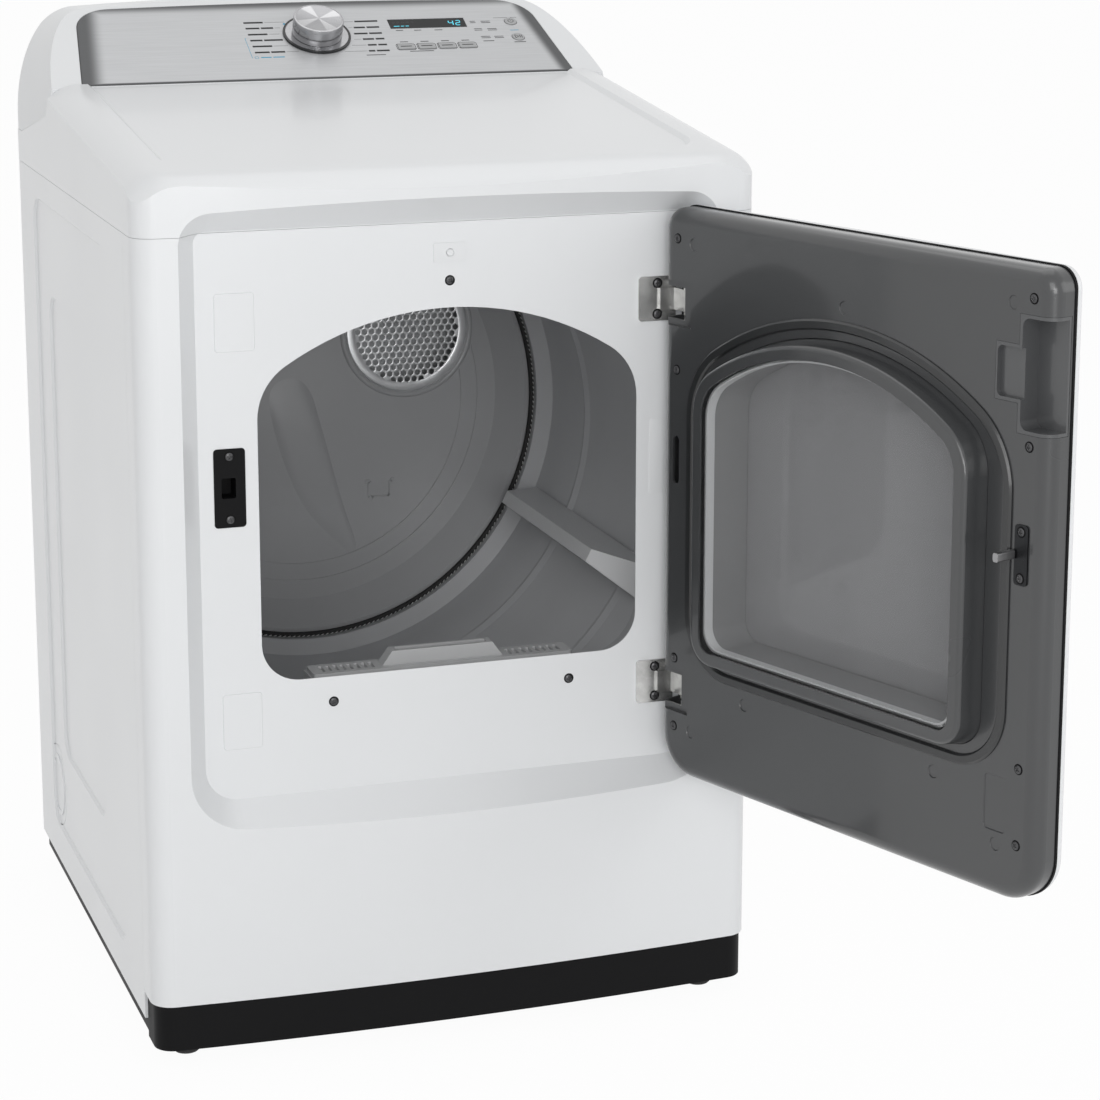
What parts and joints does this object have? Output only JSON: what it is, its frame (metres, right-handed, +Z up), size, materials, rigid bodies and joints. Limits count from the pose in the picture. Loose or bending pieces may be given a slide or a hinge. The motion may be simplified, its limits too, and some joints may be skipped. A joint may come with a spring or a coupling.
{
  "type": "clothes dryer",
  "caption": "Front-loading vented tumble dryer, its side-hinged window door open, with rear console, drum, baffles, lint filter and belt drive.",
  "frame": {"origin": "centre of the bounding box's bottom face, on the floor, with the door open", "axes": "+Z up, +Y from the front to the back along the exhaust, +X to the user's right"},
  "size_m": [0.8015, 1.2621, 1.0965],
  "materials": {
    "white_enamel": "gloss white enamel on pressed steel",
    "white_plastic": "gloss white moulding",
    "black_enamel": "black enamel on pressed steel",
    "black_plastic": "matt black moulding",
    "silver_fascia": "silver satin fascia",
    "dark_ring": "dark gloss ring",
    "silver_dial": "silver satin knob",
    "display_glass": "smoked window",
    "board": "printed board",
    "dark_grey_plastic": "dark grey semi-gloss moulding",
    "seal_rubber": "soft black",
    "window_glass": "grey translucent",
    "bright_steel": "plated steel",
    "galvanised": "galvanised sheet",
    "grey_enamel": "mid-grey enamel",
    "grey_plastic": "mid-grey moulding",
    "felt": "wool felt",
    "roller_rubber": "hard rubber",
    "motor_steel": "dark paint",
    "machined_steel": "turned"
  },
  "bodies": {
    "cabinet": {"base_pan": "black_enamel", "plinth": "black_plastic", "front_panel": "white_enamel", "side_panel_left": "white_enamel", "side_panel_right": "white_enamel", "rear_panel": "galvanised", "service_cover": "galvanised", "top_cover": "white_enamel", "console_housing": "white_plastic", "console_fascia": "silver_fascia", "display_window": "display_glass", "dial_ring": "dark_ring", "control_board": "board", "hinge_arms": "bright_steel", "water_valve": "grey_plastic", "latch_catch": "black_plastic", "door_switch": "white_plastic", "cabinet_screws": "bright_steel", "front_bulkhead": "grey_enamel", "rear_bulkhead": "grey_enamel", "air_grille": "bright_steel", "drum_seals": "felt", "lint_duct": "grey_plastic", "blower_housing": "grey_plastic", "exhaust_duct": "galvanised", "motor": "motor_steel", "drive_belt": "roller_rubber", "heater_duct": "galvanised", "heating_element": "machined_steel"},
    "door": {"door_inner_panel": "dark_grey_plastic", "door_outer_panel": "white_enamel", "door_glass_outer": "window_glass", "window_frame": "dark_grey_plastic", "door_glass_inner": "window_glass", "door_seal": "seal_rubber", "striker": "bright_steel", "handle_pocket": "dark_grey_plastic", "hinge_brackets": "bright_steel", "door_screws": "bright_steel"},
    "drum": {"drum_shell": "grey_enamel", "drum_baffles": "grey_plastic"},
    "motor_rotor": {"motor_shaft": "machined_steel", "blower_wheel": "grey_plastic"},
    "idler_arm": {"idler_arm": "machined_steel"},
    "idler_pulley": {"idler_pulley": "roller_rubber"},
    "rollers_left": {"drum_rollers_left": "roller_rubber"},
    "rollers_right": {"drum_rollers_right": "roller_rubber"},
    "lint_filter": {"lint_filter": "grey_plastic"},
    "dial": {"dial_knob": "silver_dial"},
    "switch_plunger": {"switch_plunger": "white_plastic"},
    "key_dryness": {"key_dryness": "silver_dial"},
    "key_heat": {"key_heat": "silver_dial"},
    "key_time": {"key_time": "silver_dial"},
    "key_crease": {"key_crease": "silver_dial"},
    "key_power": {"key_power": "silver_dial"},
    "key_start": {"key_start": "silver_dial"},
    "foot_front_left": {"foot_front_left": "roller_rubber"},
    "foot_rear_left": {"foot_rear_left": "roller_rubber"},
    "foot_front_right": {"foot_front_right": "roller_rubber"},
    "foot_rear_right": {"foot_rear_right": "roller_rubber"}
  },
  "joints": [
    {"name": "door_hinge", "type": "hinge", "parent": "cabinet", "child": "door", "pos_m": [0.205, -0.1135, 0.591], "axis": [0, 0, 1], "range_deg": [-109.4, 0]},
    {"name": "drum_spin", "type": "hinge", "parent": "cabinet", "child": "drum", "pos_m": [-0.058, 0.269, 0.582], "axis": [0, 1, 0], "continuous": true},
    {"name": "motor_spin", "type": "hinge", "parent": "cabinet", "child": "motor_rotor", "pos_m": [-0.188, 0.097, 0.146], "axis": [0, 1, 0], "continuous": true},
    {"name": "idler_swing", "type": "hinge", "parent": "cabinet", "child": "idler_arm", "pos_m": [-0.0294, 0.249, 0.18002], "axis": [0, 1, 0], "range_deg": [-12, 0], "stiffness_Nm_per_rad": 1, "springref_deg": 28.65},
    {"name": "idler_spin", "type": "hinge", "parent": "idler_arm", "child": "idler_pulley", "pos_m": [-0.12, 0.249, 0.196], "axis": [0, 1, 0], "continuous": true},
    {"name": "rollers_left_spin", "type": "hinge", "parent": "cabinet", "child": "rollers_left", "pos_m": [-0.26258, 0.269, 0.32014], "axis": [0, 1, 0], "continuous": true},
    {"name": "rollers_right_spin", "type": "hinge", "parent": "cabinet", "child": "rollers_right", "pos_m": [0.14658, 0.269, 0.32014], "axis": [0, 1, 0], "continuous": true},
    {"name": "lint_filter_slide", "type": "slide", "parent": "cabinet", "child": "lint_filter", "axis": [0, 0, 1], "range_m": [0, 0.2]},
    {"name": "dial_turn", "type": "hinge", "parent": "cabinet", "child": "dial", "pos_m": [-0.058, 0.45858, 1.05441], "axis": [0, -0.473, 0.881], "continuous": true},
    {"name": "plunger_press", "type": "slide", "parent": "cabinet", "child": "switch_plunger", "axis": [0, 1, 0], "range_m": [0, 0.0042], "stiffness_N_per_m": 200},
    {"name": "key_dryness_press", "type": "slide", "parent": "cabinet", "child": "key_dryness", "axis": [0, 0.473, -0.881], "range_m": [0, 0.0008], "stiffness_N_per_m": 400},
    {"name": "key_heat_press", "type": "slide", "parent": "cabinet", "child": "key_heat", "axis": [0, 0.473, -0.881], "range_m": [0, 0.0008], "stiffness_N_per_m": 400},
    {"name": "key_time_press", "type": "slide", "parent": "cabinet", "child": "key_time", "axis": [0, 0.473, -0.881], "range_m": [0, 0.0008], "stiffness_N_per_m": 400},
    {"name": "key_crease_press", "type": "slide", "parent": "cabinet", "child": "key_crease", "axis": [0, 0.473, -0.881], "range_m": [0, 0.0008], "stiffness_N_per_m": 400},
    {"name": "key_power_press", "type": "slide", "parent": "cabinet", "child": "key_power", "axis": [0, 0.473, -0.881], "range_m": [0, 0.0008], "stiffness_N_per_m": 400},
    {"name": "key_start_press", "type": "slide", "parent": "cabinet", "child": "key_start", "axis": [0, 0.473, -0.881], "range_m": [0, 0.0008], "stiffness_N_per_m": 400},
    {"name": "foot_front_left_screw", "type": "slide", "parent": "cabinet", "child": "foot_front_left", "axis": [0, 0, -1], "range_m": [0, 0.02]},
    {"name": "foot_rear_left_screw", "type": "slide", "parent": "cabinet", "child": "foot_rear_left", "axis": [0, 0, -1], "range_m": [0, 0.02]},
    {"name": "foot_front_right_screw", "type": "slide", "parent": "cabinet", "child": "foot_front_right", "axis": [0, 0, -1], "range_m": [0, 0.02]},
    {"name": "foot_rear_right_screw", "type": "slide", "parent": "cabinet", "child": "foot_rear_right", "axis": [0, 0, -1], "range_m": [0, 0.02]}
  ],
  "couplings": [
    {"joint": "motor_spin", "follows": "drum_spin", "ratio": 22.399},
    {"joint": "idler_spin", "follows": "drum_spin", "ratio": -11.733},
    {"joint": "rollers_left_spin", "follows": "drum_spin", "ratio": -10.067},
    {"joint": "rollers_right_spin", "follows": "drum_spin", "ratio": -10.067}
  ]
}
